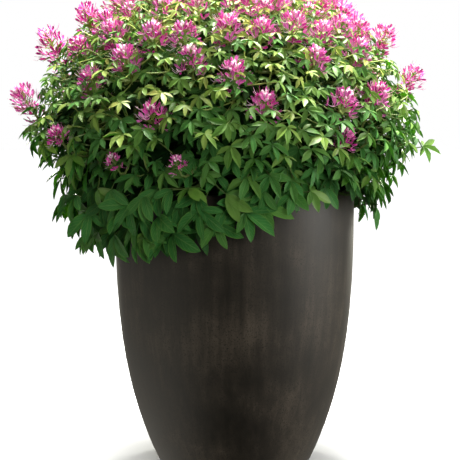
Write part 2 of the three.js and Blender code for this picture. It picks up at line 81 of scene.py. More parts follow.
class Shade:
    """A socket of a node tree. Python's operators on it add Math nodes."""

    def __init__(self, tree, socket=None):
        self.tree = tree
        self.socket = socket

    def node(self, kind, inputs=None, output=0, **settings):
        """Adds any shader node: its settings first, then the values or links of its sockets."""
        made = self.tree.nodes.new("ShaderNode" + kind)
        for name, value in settings.items():
            setattr(made, name, value)
        for name, value in (inputs or {}).items():
            if isinstance(value, Shade):
                self.tree.links.new(value.socket, made.inputs[name])
            else:
                made.inputs[name].default_value = value
        return Shade(self.tree, made.outputs[output]) if made.outputs else None

    def maths(self, operation, *values):
        return self.node("Math", dict(enumerate(values)), operation=operation)

    def __add__(self, other):
        return self.maths("ADD", self, other)

    def __sub__(self, other):
        return self.maths("SUBTRACT", self, other)

    def __rsub__(self, other):
        return self.maths("SUBTRACT", other, self)

    def __mul__(self, other):
        return self.maths("MULTIPLY", self, other)

    __radd__ = __add__
    __rmul__ = __mul__

    def between(self, low, high):
        """0 below low, 1 above high, and smooth between them."""
        inputs = {"Value": self, "From Min": low, "From Max": high}
        return self.node("MapRange", inputs, interpolation_type="SMOOTHSTEP")

    def blend(self, first, second):
        """A colour that goes from first to second as this value goes from 0 to 1."""
        return self.node("Mix", {0: self, 6: first, 7: second}, output=2, data_type="RGBA")


def rgb(red, green, blue):
    """A colour as it shows on a screen, from 0 to 255, for a colour socket."""
    levels = [level / 255 for level in (red, green, blue)]
    return (*[c / 12.92 if c < 0.04045 else ((c + 0.055) / 1.055) ** 2.4 for c in levels], 1)


def new_finish(name):
    """A material with an empty node tree, and that tree to add nodes to."""
    finish = bpy.data.materials.new(name)
    finish.use_nodes = True
    finish.node_tree.nodes.clear()
    return finish, Shade(finish.node_tree)


def softbox(name, place, target, size, power, colour):
    """A rectangular light that faces a target."""
    turn = (Vector(target) - Vector(place)).to_track_quat("-Z", "Y").to_euler()
    bpy.ops.object.light_add(type="AREA", location=place, rotation=turn)
    lamp = bpy.context.object
    lamp.name = name
    lamp.data.shape = "RECTANGLE"
    lamp.data.size, lamp.data.size_y = size
    lamp.data.energy = power
    lamp.data.color = colour
    return lamp


bpy.ops.object.select_all(action="DESELECT")
drop = math.atan2(CAMERA_PLACE[2] - LOOKED_AT_HEIGHT, -CAMERA_PLACE[1])
bpy.ops.object.camera_add(location=CAMERA_PLACE, rotation=(math.pi / 2 - drop, 0, 0))
camera = bpy.context.object
camera.data.sensor_width = 36
camera.data.lens = camera.data.sensor_width * FOCAL_PIXELS / IMAGE_SIDE
bpy.context.scene.camera = camera
bpy.context.scene.view_settings.view_transform = "Standard"

for row in SOFTBOXES:
    lamp = softbox(*row)
    lamp.visible_glossy = lamp.name != "front"

world = bpy.data.worlds.new("studio")
bpy.context.scene.world = world
world.use_nodes = True
world.node_tree.nodes.clear()
room = Shade(world.node_tree)
backdrop = room.node("Background", {"Color": rgb(255, 255, 255), "Strength": 1.0})
# The direction in which the room is seen: to the right, to the back and up
seen_way = room.node("TexCoord", output="Generated")
sideways = room.node("SeparateXYZ", {"Vector": seen_way}, output="X")
backwards = room.node("SeparateXYZ", {"Vector": seen_way}, output="Y")
upwards = room.node("SeparateXYZ", {"Vector": seen_way}, output="Z")
below = 1 - upwards.between(-0.6, -0.05)
off_front = sideways - 0.08
aside = off_front.maths("ABSOLUTE", off_front).between(0.3 + below * 0.22, 0.66 + below * 0.2)
around = aside.maths("MAXIMUM", aside, backwards.between(0.1, 0.6))
to_left = 1 - sideways.between(-0.7, -0.2)
low_light = below * (to_left * ROOM_BELOW_LEFT + ROOM_BELOW)
strength = around * (low_light + ROOM_AROUND) + upwards.between(0, 0.8) * ROOM_ABOVE
room_light = room.node("Background", {"Color": rgb(250, 244, 230), "Strength": strength})
straight_on = room.node("LightPath", output="Is Camera Ray")
room.node("OutputWorld", {"Surface": room.node("MixShader", {0: straight_on, 1: room_light, 2: backdrop})})

bpy.ops.mesh.primitive_plane_add(size=FLOOR_SIZE, location=(0, 0, FLOOR_LEVEL))
floor = bpy.context.object
floor.name = "floor"
floor.visible_diffuse = False
floor.visible_glossy = False
white_floor, paint = new_finish("white_floor")
place = paint.node("TexCoord", output="Object")
from_pot = paint.node("VectorMath", {0: place}, output="Value", operation="LENGTH")
lit = from_pot.between(0.14, 0.4)
shown = paint.node(
    "BsdfPrincipled",
    {
        "Base Color": rgb(166, 168, 176),
        "Roughness": 0.9,
        "Specular IOR Level": 0.1,
        "Emission Color": lit.blend(rgb(0, 0, 0), rgb(255, 255, 255)),
        "Emission Strength": 1.0,
    },
)
paint.node("OutputMaterial", {"Surface": shown})
floor.data.materials.append(white_floor)


# Pot
# A tall planter cast from clay and glass fibre, with one wall and floor and three drain holes. Its wall comes
# upright towards the rim. The dark, nearly matt surface is unevenly weathered, with faint streaks down it.
POT_SIDES = 96
POT_WALL = 0.016
POT_FLOOR = 0.024
BASE_RADIUS = 0.154
BELLY_POWER = 3.1
DRAIN_RADIUS = 0.010
DRAIN_CIRCLE = 0.085
WALL_SHARES = (0.04, 0.08, 0.13, 0.18, 0.24, 0.3, 0.37, 0.45, 0.55, 0.66, 0.78, 0.9, 0.97)
LIP = [
    # distance in from the rim, distance under its top
    (0, 0.004),
    (0.0012, 0.0012),
    (0.004, 0),
    (0.012, 0),
    (0.0148, 0.0012),
    (POT_WALL, 0.004),
]
low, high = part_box("pot")
POT_HEIGHT = high.z
RIM_RADIUS = high.x


def pot_radius(height):
    """Outer radius of the pot's wall at a height."""
    return RIM_RADIUS - (RIM_RADIUS - BASE_RADIUS) * (1 - height / POT_HEIGHT) ** BELLY_POWER


def pick(piece, kind, test):
    """In edit mode, selects the vertices or the faces that pass a test, and nothing else."""
    shape = bmesh.from_edit_mesh(piece.data)
    for part in (*shape.verts, *shape.edges, *shape.faces):
        part.select = False
    for part in getattr(shape, kind):
        if test(part):
            part.select_set(True)
    if kind == "verts":
        shape.select_flush(True)
    bmesh.update_edit_mesh(piece.data)


def turned(name, rings, sides):
    """A solid of revolution about Z: a low cylinder whose top is drawn on from ring to ring."""
    radius, height = rings[0]
    level = rings[1][1]
    middle = (0, 0, (height + level) / 2)
    bpy.ops.mesh.primitive_cylinder_add(vertices=sides, radius=radius, depth=level - height, location=middle)
    body = bpy.context.object
    body.name = name
    bpy.ops.object.transform_apply(location=True)
    bpy.ops.object.mode_set(mode="EDIT")
    pick(body, "faces", lambda face: face.normal.z > 0.9)
    for number, (wanted, level) in enumerate(rings[1:]):
        if number > 0:
            bpy.ops.mesh.extrude_region_move(TRANSFORM_OT_translate={"value": (0, 0, level - height)})
        bpy.ops.transform.resize(value=(wanted / radius, wanted / radius, 1), center_override=(0, 0, level))
        radius, height = wanted, level
    bpy.ops.mesh.select_all(action="SELECT")
    bpy.ops.mesh.normals_make_consistent(inside=False)
    bpy.ops.object.mode_set(mode="OBJECT")
    return body


def sloped(levels, inset):
    """Rings of a wall that follows the pot's outside at a distance from it."""
    return [(pot_radius(level) - inset, level) for level in levels]


outside = [0.003, 0.008, *[POT_HEIGHT * share for share in WALL_SHARES]]
rings = [(BASE_RADIUS - 0.006, 0), (BASE_RADIUS - 0.0015, 0.001), *sloped(outside, 0)]
rings += [(RIM_RADIUS - inwards, POT_HEIGHT - down) for inwards, down in LIP]
rings += sloped([0.5, 0.42, 0.3, 0.2, 0.11, 0.05, POT_FLOOR + 0.004], POT_WALL)
rings += [(pot_radius(POT_FLOOR) - POT_WALL - 0.004, POT_FLOOR)]
pot = turned("pot_cast", rings, POT_SIDES)

for hole in range(3):
    turn = math.radians(hole * 120)
    middle = (math.sin(turn) * DRAIN_CIRCLE, -math.cos(turn) * DRAIN_CIRCLE, POT_FLOOR / 2)
    depth = 2 * POT_FLOOR
    bpy.ops.mesh.primitive_cylinder_add(vertices=24, radius=DRAIN_RADIUS, depth=depth, location=middle)
    drill = bpy.context.object
    only(pot)
    cut = pot.modifiers.new("drain", "BOOLEAN")
    cut.operation = "DIFFERENCE"
    cut.object = drill
    bpy.ops.object.modifier_apply(modifier=cut.name)
    bpy.data.objects.remove(drill)
bpy.ops.object.shade_smooth_by_angle(angle=math.radians(35))

clay, paint = new_finish("weathered_fibre_clay")
place = paint.node("TexCoord", output="Object")
stretched = paint.node("Mapping", {"Vector": place, "Scale": (1, 1, 0.07)})
shifted = paint.node("Mapping", {"Vector": place, "Location": (0.37, 0.2, 0.11)})
blotches = paint.node("TexNoise", {"Vector": shifted, "Scale": 7.0, "Detail": 6.0, "Roughness": 0.6})
streaks = paint.node("TexNoise", {"Vector": stretched, "Scale": 60.0, "Detail": 6.0, "Roughness": 0.7})
grit = paint.node("TexNoise", {"Vector": place, "Scale": 320.0, "Detail": 3.0, "Roughness": 0.7})
wear = blotches * 0.6 + streaks * 0.4
body_colour = wear.between(0.34, 0.66).blend(rgb(29, 27, 22), rgb(60, 54, 46))
bloom = wear.between(0.5, 0.74) * 0.4
body_colour = bloom.blend(body_colour, rgb(110, 100, 86))
pits = grit.between(0.32, 0.5)
body_colour = pits.blend(rgb(32, 30, 27), body_colour)
relief = wear * 0.6 + grit * 0.3
shown = paint.node(
    "BsdfPrincipled",
    {
        "Base Color": body_colour,
        "Roughness": 0.42 + wear * 0.25,
        "Specular IOR Level": 0.62,
        "Normal": paint.node("Bump", {"Height": relief, "Strength": 0.3, "Distance": 0.0015}),
    },
)
paint.node("OutputMaterial", {"Surface": shown})
pot.data.materials.append(clay)
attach(pot, "root")
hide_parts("pot")


# Soil
# Dark, crumbly potting soil fills the pot to 40 mm under its rim, a little higher in the middle. Loose crumbs
# lie on it, and the stems stand in it.
SOIL_GAP = 0.0003
SOIL_LEVEL = 0.505
SOIL_CROWN = 0.006
CRUMBS = 220
CRUMB_SIZES = (0.003, 0.007)
TOP_SHARES = (0.9, 0.78, 0.64, 0.5, 0.35, 0.2, 0.08)
chance = random.Random(11)

wall = sloped([POT_FLOOR + 0.0063, 0.1, 0.2, 0.32, 0.44, SOIL_LEVEL], POT_WALL + SOIL_GAP)
bottom = (pot_radius(POT_FLOOR) - POT_WALL - 0.006, POT_FLOOR + SOIL_GAP)
edge = wall[-1][0]
top = [(edge * share, SOIL_LEVEL + SOIL_CROWN * (1 - share**2)) for share in TOP_SHARES]
soil = turned("soil_bed", [bottom, *wall, *top], 72)
only(soil)
rough = bpy.data.textures.new("soil_lumps", "CLOUDS")
rough.noise_scale = 0.03
lumps = soil.vertex_groups.new(name="top")
lumps.add([v.index for v in soil.data.vertices if v.co.z > SOIL_LEVEL + 0.0005], 1.0, "REPLACE")
heave = soil.modifiers.new("heave", "DISPLACE")
heave.texture = rough
heave.vertex_group = lumps.name
heave.direction = "Z"
heave.strength = 0.01
bpy.ops.object.modifier_apply(modifier=heave.name)
bpy.ops.object.shade_smooth_by_angle(angle=math.radians(50))

bpy.ops.mesh.primitive_ico_sphere_add(subdivisions=1, radius=1)
crumb_model = bpy.context.object
for vertex in crumb_model.data.vertices:
    vertex.co *= chance.uniform(0.7, 1.15)


def planted(model, place, tint):
    """A copy of a model with a mesh of its own, moved to its place. A tint is added to the model's own."""
    mesh = model.data.copy()
    mesh.transform(place)
    shades = mesh.attributes.get("tint") or mesh.attributes.new("tint", "FLOAT", "POINT")
    own = [0.0] * len(mesh.vertices)
    shades.data.foreach_get("value", own)
    shades.data.foreach_set("value", [value + tint for value in own])
    copy = bpy.data.objects.new(model.name, mesh)
    bpy.context.collection.objects.link(copy)
    return copy


def joined(name, pieces):
    """Several objects as one piece."""
    only(*pieces)
    bpy.ops.object.join()
    whole = bpy.context.object
    whole.name = name
    return whole


def flat_direction(bearing):
    """The level direction at a bearing from the front, in degrees."""
    turn = math.radians(bearing)
    return Vector((math.sin(turn), -math.cos(turn), 0))


crumbs = []
for _ in range(CRUMBS):
    spot = flat_direction(chance.uniform(0, 360)) * (edge - 0.012) * math.sqrt(chance.random())
    spot.z = SOIL_LEVEL + SOIL_CROWN * (1 - (spot.length / edge) ** 2) + 0.002
    size = chance.uniform(*CRUMB_SIZES)
    flattened = Matrix.Diagonal((size, size * chance.uniform(0.6, 1), size * 0.6, 1))
    turn = Matrix.Rotation(chance.uniform(0, 6), 4, "Z") @ Matrix.Rotation(chance.uniform(-0.5, 0.5), 4, "X")
    crumbs.append(planted(crumb_model, Matrix.Translation(spot) @ turn @ flattened, chance.random()))
bpy.data.objects.remove(crumb_model)
loose = joined("soil_crumbs", crumbs)

earth, paint = new_finish("potting_soil")
place = paint.node("TexCoord", output="Object")
fine = paint.node("TexNoise", {"Vector": place, "Scale": 190.0, "Detail": 6.0, "Roughness": 0.7})
damp = paint.node("TexNoise", {"Vector": place, "Scale": 14.0, "Detail": 3.0})
mixed = (fine * 0.7 + damp * 0.3).between(0.35, 0.68)
shown = paint.node(
    "BsdfPrincipled",
    {
        "Base Color": mixed.blend(rgb(34, 24, 17), rgb(88, 66, 48)),
        "Roughness": 0.95 - damp * 0.15,
        "Specular IOR Level": 0.25,
        "Normal": paint.node("Bump", {"Height": fine, "Strength": 0.8, "Distance": 0.003}),
    },
)
paint.node("OutputMaterial", {"Surface": shown})
for piece in (soil, loose):
    piece.data.materials.append(earth)
    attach(piece, "root")
    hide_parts("soil")


# Leaves
# Hand-shaped leaves of three to seven leaflets, soft green above and paler below, folded along the midrib and
# arched to the tip. The model's blades give the places of the main ones, and smaller ones grow in between.
LEAFLET = [
    # share of the length, half width, drop
    (0.0, 0.012, 0.0),
    (0.08, 0.045, 0.001),
    (0.2, 0.122, 0.008),
    (0.36, 0.176, 0.026),
    (0.55, 0.186, 0.060),
    (0.74, 0.136, 0.110),
    (0.9, 0.062, 0.162),
    (1.0, 0.0, 0.200),
]
HEM_LEAFLET = [
    (0.0, 0.012, 0.0),
    (0.07, 0.040, 0.001),
    (0.2, 0.132, 0.008),
    (0.36, 0.172, 0.024),
    (0.55, 0.190, 0.052),
    (0.75, 0.156, 0.090),
    (0.91, 0.078, 0.126),
    (1.0, 0.0, 0.150),
]
PLAIN_LEAFLET = [LEAFLET[0], LEAFLET[2], LEAFLET[4], (0.82, 0.102, 0.134), LEAFLET[-1]]
TINY_LEAFLET = [LEAFLET[0], (0.34, 0.165, 0.024), (0.74, 0.150, 0.110), LEAFLET[-1]]
BLADE_FOLDS = (0.35, 0.75)
BLADE_THICKNESS = 0.007
SEVEN_LEAFLETS = ((0, 40, -40, 78, -78, 118, -118), (1.0, 0.95, 0.95, 0.8, 0.8, 0.5, 0.5))
FIVE_LEAFLETS = ((0, 50, -50, 98, -98), (1.0, 0.92, 0.92, 0.66, 0.66))
THREE_LEAFLETS = ((0, 56, -56), (1.0, 0.85, 0.85))
FIVE_HANGING = ((0, 44, -42, 84, -80), (1.0, 0.92, 0.88, 0.66, 0.62))
THREE_HANGING = ((0, 38, -36), (1.0, 0.94, 0.9))
HEM_FOLD = 0.8
HEM_SWAY = {"turn": 10, "lean": 20, "roll": 28, "size": 0.1}
LEAFLET_SWAY = {"turn": 9, "lean": 15, "roll": 21, "size": 0.1}
LEAFLET_TINTS = 0.13
CAD_BLADE = 0.0018
BLADE_TOLERANCE = 0.00002
HUB_EDGES = 11
BUSH_MIDDLE = Vector((-0.02, 0, 0.6))
BUSH_RADIUS = 0.398
BUSH_RISE = 0.4
BUSH_DROP = 0.3
BUSH_SQUARENESS = 2.15
BUSH_WAIST = 0.16
WAIST_FROM = 10
WAIST_TO = -3
FACING_AT_RIM = 26
FACING_AT_CROWN = 80
CLOSENESS = 0.6
# Painted shade: how much a leaf's tint darkens per metre of depth under the bush's outline
DEPTH_SHADE = 9
LEAF_LOWEST = -20
LEAF_HIGHEST = 84
HANGING_TO = -5
TINY_FROM = 26
INNER_LOWEST = -9
HEM_RISE = 13
HEM_RISE_AT = 46
HEM_RISE_POWER = 3
HEM_RISE_HEIGHT = 22
HEM_DROP = 10
HEM_DROP_AT = -70
LEAF_SIZES = [
    # elevation seen from the middle of the bush, length of the middle leaflet
    (-20, 0.066),
    (-12, 0.059),
    (-4, 0.045),
    (8, 0.036),
    (22, 0.028),
    (50, 0.021),
    (84, 0.019),
]
MAIN_SIZES = (0.9, 1.1)
GROWN_SIZES = (0.8, 1.15)
LEAF_MIDDLE = 0.4
LEAF_HANG = -45
CROWN_ELEVATION = 55
FOOT_EDGES = 20
HEAD_UPRIGHT = 1.27
BUD_REACH = 0.058
HEAD_TOP = 0.03
HEAD_SEARCH = 0.1
HEAD_ROOM = 0.022
CROWN_HEAD_ROOM = 0.008
CROWN_FROM = 0.74
YOUNG_HEADS_FROM = 36
YOUNG_HEAD_RAISE = (0.055, 0.075)
YOUNG_HEAD_ASIDE = 0.02
YOUNG_HEAD_SIZES = (0.75, 0.95)
TALL_HEADS_FROM = 0.37
LOWER_TIER = 0.032
LOWER_TIER_SIZE = 0.85
OUTLIER_HUB = Vector((0.37, -0.06, 0.63))
OUTLIER_SIZE = 0.036
OUTLIER_STEM = 1
GROWTH_TRIES = 8
LEAF_LAYERS = [
    # leaves, lowest elevation, depths at the rim, depths at the crown, size, sway
    (1900, LEAF_LOWEST, (0.004, 0.055), (0.03, 0.075), 1.0, 28),
    (420, INNER_LOWEST, (0.035, 0.08), (0.055, 0.10), 1.4, 36),
    (300, INNER_LOWEST, (0.09, 0.17), (0.10, 0.18), 2.0, 36),
    (120, INNER_LOWEST, (0.17, 0.27), (0.18, 0.28), 2.6, 50),
]
TINT_FROM = 0.4
TINT_RISE = 0.6
TINT_FALL = 0.9
TINT_SPREAD = (0.1, 0.5)
SHADED_FROM = 0.01
YOUNGER = -0.15
# Painted shade that darkens every leaf of the inner layers
INNER_SHADE = 0.3
UP = Vector((0, 0, 1))
STEM_NODES = sorted(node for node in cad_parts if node.startswith("leafy_stem"))
HEAD_NODES = sorted(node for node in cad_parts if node.startswith("flower_head"))


def blade(name, rows, columns, fold):
    """A thin closed blade of length 1 along Y: a grid folded up at its sides and drawn to an outline."""
    bpy.ops.mesh.primitive_grid_add(x_subdivisions=columns, y_subdivisions=len(rows) - 1, size=2)
    sheet = bpy.context.object
    sheet.name = name
    sheet.data.attributes.new("under", "FLOAT", "FACE")
    bpy.ops.object.mode_set(mode="EDIT")
    for column in range(columns + 1):
        across = 2 * column / columns - 1
        pick(sheet, "verts", lambda vertex: abs(vertex.co.x - across) < 0.001)
        bpy.ops.transform.translate(value=(0, 0, fold * abs(across) * (1.5 - abs(across) / 2)))
    for number in reversed(range(len(rows))):
        share, half_width, fall = rows[number]
        level = 2 * number / (len(rows) - 1) - 1
        pick(sheet, "verts", lambda vertex: abs(vertex.co.y - level) < 0.001)
        bpy.ops.transform.resize(value=(half_width, 1, half_width), center_override=(0, level, 0))
        bpy.ops.transform.translate(value=(0, share - level, -fall))
    bpy.ops.mesh.select_all(action="SELECT")
    bpy.ops.mesh.remove_doubles(threshold=0.0001)
    bpy.ops.mesh.duplicate()
    bpy.ops.mesh.flip_normals()
    shape = bmesh.from_edit_mesh(sheet.data)
    marks = shape.faces.layers.float["under"]
    for face in shape.faces:
        face[marks] = float(face.select)
    flipped = [face for face in shape.faces if face.select]
    lowered = {vertex for face in flipped for vertex in face.verts if not vertex.is_boundary}
    pick(sheet, "verts", lambda vertex: vertex in lowered)
    bpy.ops.transform.translate(value=(0, 0, -BLADE_THICKNESS))
    bpy.ops.mesh.select_all(action="SELECT")
    bpy.ops.mesh.remove_doubles(threshold=0.00001)
    bpy.ops.object.mode_set(mode="OBJECT")
    bpy.ops.object.shade_smooth_by_angle(angle=math.radians(70))
    return sheet


def swayed(length, most):
    """A small random turn about Z, lean about X and roll about Y, and a random change of length."""
    turns = [
        Matrix.Rotation(math.radians(chance.uniform(-1, 1) * most[name]), 4, axis)
        for name, axis in (("turn", "Z"), ("lean", "X"), ("roll", "Y"))
    ]
    size = length * (1 + chance.uniform(-1, 1) * most["size"])
    return turns[0] @ turns[1] @ turns[2] @ Matrix.Scale(size, 4)


def palmate(leaflets, angles, lengths, sway):
    """A leaf of several leaflets that spread from its hub, the middle one along Y."""
    parts = []
    for angle, length in zip(angles, lengths):
        turn = Matrix.Rotation(math.radians(angle), 4, "Z")
        tint = chance.uniform(-LEAFLET_TINTS, LEAFLET_TINTS)
        parts.append(planted(chance.choice(leaflets), turn @ swayed(length, sway), tint))
    return joined("leaf", parts)


def kinds_of(leaflets, forms, copies, sway=LEAFLET_SWAY):
    """Several leaves of each form, no two alike."""
    return [palmate(leaflets, *form, sway) for form in forms for _ in range(copies)]


def merged_copy(node):
    """A CAD node's mesh with its shared corners merged."""
    shape = bmesh.new()
    shape.from_mesh(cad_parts[node].data)
    bmesh.ops.remove_doubles(shape, verts=shape.verts, dist=0.000002)
    shape.verts.ensure_lookup_table()
    return shape


def blade_places(node):
    """The place of each leaf of a stem's solid: its hub, Y along the middle leaflet, Z out of its face."""
    shape = merged_copy(node)
    tree = kdtree.KDTree(len(shape.verts))
    for vertex in shape.verts:
        tree.insert(vertex.co, vertex.index)
    tree.balance()
    found = []
    for upper in shape.verts:
        if len(upper.link_edges) < HUB_EDGES:
            continue
        for _, index, distance in tree.find_range(upper.co, CAD_BLADE * 1.1):
            lower = shape.verts[index]
            facing = sum((face.normal for face in upper.link_faces), Vector())
            if abs(distance - CAD_BLADE) > BLADE_TOLERANCE or len(lower.link_edges) < HUB_EDGES - 1:
                continue
            through = upper.co - lower.co
            if facing.dot(through) < 0 or through.dot(upper.co - BUSH_MIDDLE) < 0:
                continue
            normal = through.normalized()
            spokes = [edge.other_vert(upper).co - upper.co for edge in upper.link_edges]
            longest = max(spokes, key=lambda spoke: spoke.length)
            along = longest - normal * longest.dot(normal)
            found.append(placed(upper.co, along.normalized(), normal, along.length))
    shape.free()
    return found


def placed(hub, along, normal, size):
    """The matrix that puts a leaf of length 1 at a hub."""
    across = along.cross(normal)
    turn = Matrix((across, along, normal)).transposed().to_4x4()
    return Matrix.Translation(hub) @ turn @ Matrix.Scale(size, 4)


def head_places(node):
    """The place of each flower head in a node: its foot, its axis along Z, its size against a full one."""
    shape = merged_copy(node)
    corners = [vertex.co.copy() for vertex in shape.verts]
    feet = [vertex.co.copy() for vertex in shape.verts if len(vertex.link_edges) >= FOOT_EDGES]
    shape.free()
    middle = sum(feet, Vector()) / len(feet)
    axis = ((middle - BUSH_MIDDLE).normalized() + UP * HEAD_UPRIGHT).normalized()
    places = []
    for foot in feet:
        own = [corner for corner in corners if min(feet, key=lambda other: (other - corner).length) == foot]
        size = max((corner - foot).dot(axis) for corner in own) / BUD_REACH
        turn = axis.to_track_quat("Z", "Y").to_matrix().to_4x4()
        places.append(Matrix.Translation(foot) @ turn @ Matrix.Scale(size, 4))
    return places


def hides_head(spot, size):
    """Whether a leaf with its middle at a spot would stand in front of a flower head."""
    for middle, _, _ in head_tree.find_range(spot, HEAD_SEARCH):
        out = (middle - BUSH_MIDDLE).normalized()
        off = spot - middle
        over = off.dot(out)
        room = CROWN_HEAD_ROOM if middle.z > CROWN_FROM else HEAD_ROOM + size * LEAF_MIDDLE
        if over > -HEAD_ROOM and (off - out * over).length < room:
            return True
    return False


def direction(bearing, elevation):
    """The direction at a bearing from the front and an elevation, in degrees."""
    rise = math.radians(elevation)
    return flat_direction(bearing) * math.cos(rise) + UP * math.sin(rise)


def bush_point(bearing, elevation, depth):
    """A point of the bush, at a depth under its outline."""
    height = BUSH_RISE if elevation > 0 else BUSH_DROP
    flat = abs(math.cos(math.radians(elevation))) / BUSH_RADIUS
    steep = abs(math.sin(math.radians(elevation))) / height
    reach = (flat**BUSH_SQUARENESS + steep**BUSH_SQUARENESS) ** (-1 / BUSH_SQUARENESS)
    below = min(1, max(0, (WAIST_FROM - elevation) / (WAIST_FROM - WAIST_TO)))
    reach *= 1 - BUSH_WAIST * below**2 * (3 - 2 * below)
    return BUSH_MIDDLE + direction(bearing, elevation) * (reach - depth)


def raised(bearing, elevation):
    """The elevation of a leaf. The hem is higher at the right of the front, and hangs lower at its left."""
    right = max(0, math.cos(math.radians(bearing - HEM_RISE_AT))) ** HEM_RISE_POWER
    left = max(0, math.cos(math.radians(bearing - HEM_DROP_AT)))
    share = max(0, 1 - (elevation - LEAF_LOWEST) / HEM_RISE_HEIGHT)
    return elevation + (HEM_RISE * right - HEM_DROP * left) * share


def leaf_size(elevation):
    """Length of a leaf's middle leaflet at this elevation: the oldest and longest leaves hang at the hem."""
    for (low, first), (high, last) in zip(LEAF_SIZES, LEAF_SIZES[1:]):
        if elevation <= high:
            share = max(0, (elevation - low) / (high - low))
            return first + (last - first) * share
    return last


def elevation_of(point):
    """Elevation of a point seen from the middle of the bush, in degrees."""
    return math.degrees(math.asin((point - BUSH_MIDDLE).normalized().z))


def depth_of(point):
    """How deep a point lies under the outline of the bush."""
    out = point - BUSH_MIDDLE
    outline = bush_point(math.degrees(math.atan2(out.x, -out.y)), elevation_of(point), 0)
    return (outline - BUSH_MIDDLE).length - out.length


def grown(count, lowest, depths_at_rim, depths_at_crown, stretch, sway, leaves):
    """Adds leaves where the bush is thinnest: each takes the one of several random places that is farthest
    from the rest and hides no flower head. A leaf is its matrix and the number of its stem."""
    for _ in range(count):
        tree = kdtree.KDTree(len(leaves))
        for number, (place, _) in enumerate(leaves):
            tree.insert(place.translation, number)
        tree.balance()
        best = None
        for _ in range(GROWTH_TRIES):
            bearing = chance.uniform(0, 360)
            sine = chance.uniform(math.sin(math.radians(lowest)), math.sin(math.radians(LEAF_HIGHEST)))
            elevation = raised(bearing, math.degrees(math.asin(sine)))
            share = min(1, max(0, elevation / CROWN_ELEVATION))
            depths = [rim + (crown - rim) * share for rim, crown in zip(depths_at_rim, depths_at_crown)]
            hub = bush_point(bearing, elevation, chance.uniform(*depths))
            size = leaf_size(elevation)
            if hides_head(hub + direction(bearing, LEAF_HANG) * size * LEAF_MIDDLE, size):
                continue
            _, nearest, room = tree.find(hub)
            openness = room / size**CLOSENESS
            if best is None or openness > best[0]:
                best = (openness, bearing, elevation, hub, leaves[nearest][1])
        if best is None:
            continue
        _, bearing, elevation, hub, stem = best
        share = (elevation - LEAF_LOWEST) / (LEAF_HIGHEST - LEAF_LOWEST)
        facing = FACING_AT_RIM + (FACING_AT_CROWN - FACING_AT_RIM) * share + chance.uniform(-sway, sway)
        turned_by = bearing + chance.uniform(-sway, sway)
        normal = direction(turned_by, facing)
        roll = Matrix.Rotation(math.radians(chance.uniform(-2, 2) * sway), 3, normal)
        size = leaf_size(elevation) * stretch * chance.uniform(*GROWN_SIZES)
        leaves.append((placed(hub, roll @ direction(turned_by, facing - 90), normal, size), stem))


heads = {node: head_places(node) for node in HEAD_NODES}
small_heads = {node: [] for node in HEAD_NODES}
for node in HEAD_NODES:
    for place in heads[node]:
        out = place.translation - BUSH_MIDDLE
        if out.length > TALL_HEADS_FROM:
            lowered = place @ Matrix.Translation(UP * -LOWER_TIER)
            small_heads[node].append(lowered @ Matrix.Scale(LOWER_TIER_SIZE, 4))
        elif elevation_of(place.translation) > YOUNG_HEADS_FROM:
            aside = UP.cross(out).normalized()
            raised_by = out.cross(aside).normalized() * chance.uniform(*YOUNG_HEAD_RAISE)
            shift = raised_by + aside * chance.uniform(-1, 1) * YOUNG_HEAD_ASIDE
            size = Matrix.Scale(chance.uniform(*YOUNG_HEAD_SIZES), 4)
            small_heads[node].append(Matrix.Translation(shift) @ place @ size)
all_heads = [place for node in HEAD_NODES for place in (*heads[node], *small_heads[node])]
head_middles = [place @ Vector((0, 0, HEAD_TOP)) for place in all_heads]
head_tree = kdtree.KDTree(len(head_middles))
for number, middle in enumerate(head_middles):
    head_tree.insert(middle, number)
head_tree.balance()

only(floor)
hem_leaflets = [blade("hem_leaflet", HEM_LEAFLET, 2, fold * HEM_FOLD) for fold in BLADE_FOLDS]
light_leaflets = [blade("light_leaflet", LEAFLET, 2, fold) for fold in BLADE_FOLDS]
plain_leaflets = [blade("plain_leaflet", PLAIN_LEAFLET, 2, fold) for fold in BLADE_FOLDS]
tiny_leaflets = [blade("tiny_leaflet", TINY_LEAFLET, 2, fold) for fold in BLADE_FOLDS]
hanging_kinds = kinds_of(hem_leaflets, (FIVE_HANGING, THREE_HANGING), 4, HEM_SWAY)
fine_kinds = kinds_of(light_leaflets, (SEVEN_LEAFLETS, FIVE_LEAFLETS), 4)
young_kinds = kinds_of(plain_leaflets, (FIVE_LEAFLETS,), 8)
tiny_kinds = kinds_of(tiny_leaflets, (FIVE_LEAFLETS, THREE_LEAFLETS), 5)
inner_kinds = kinds_of(tiny_leaflets, (SEVEN_LEAFLETS, FIVE_LEAFLETS), 3)

main_leaves = []
for number, node in enumerate(STEM_NODES):
    for place in blade_places(node):
        hub = place.translation
        size = leaf_size(elevation_of(hub)) / place.to_scale().x * chance.uniform(*MAIN_SIZES)
        main_leaves.append((place @ Matrix.Scale(size, 4), number))
outer_leaves = list(main_leaves)
outlier_facing = Vector((0.2, -0.8, 0.56)).normalized()
outlier_along = outlier_facing.cross(Vector((0.3, 0.1, 1))).normalized() * -1
outlier = placed(OUTLIER_HUB, outlier_along, outlier_facing, OUTLIER_SIZE)
outer_leaves.append((outlier, OUTLIER_STEM))
grown(*LEAF_LAYERS[0], outer_leaves)
all_leaves = list(outer_leaves)
for layer in LEAF_LAYERS[1:]:
    grown(*layer, all_leaves)
inner_leaves = all_leaves[len(outer_leaves):]

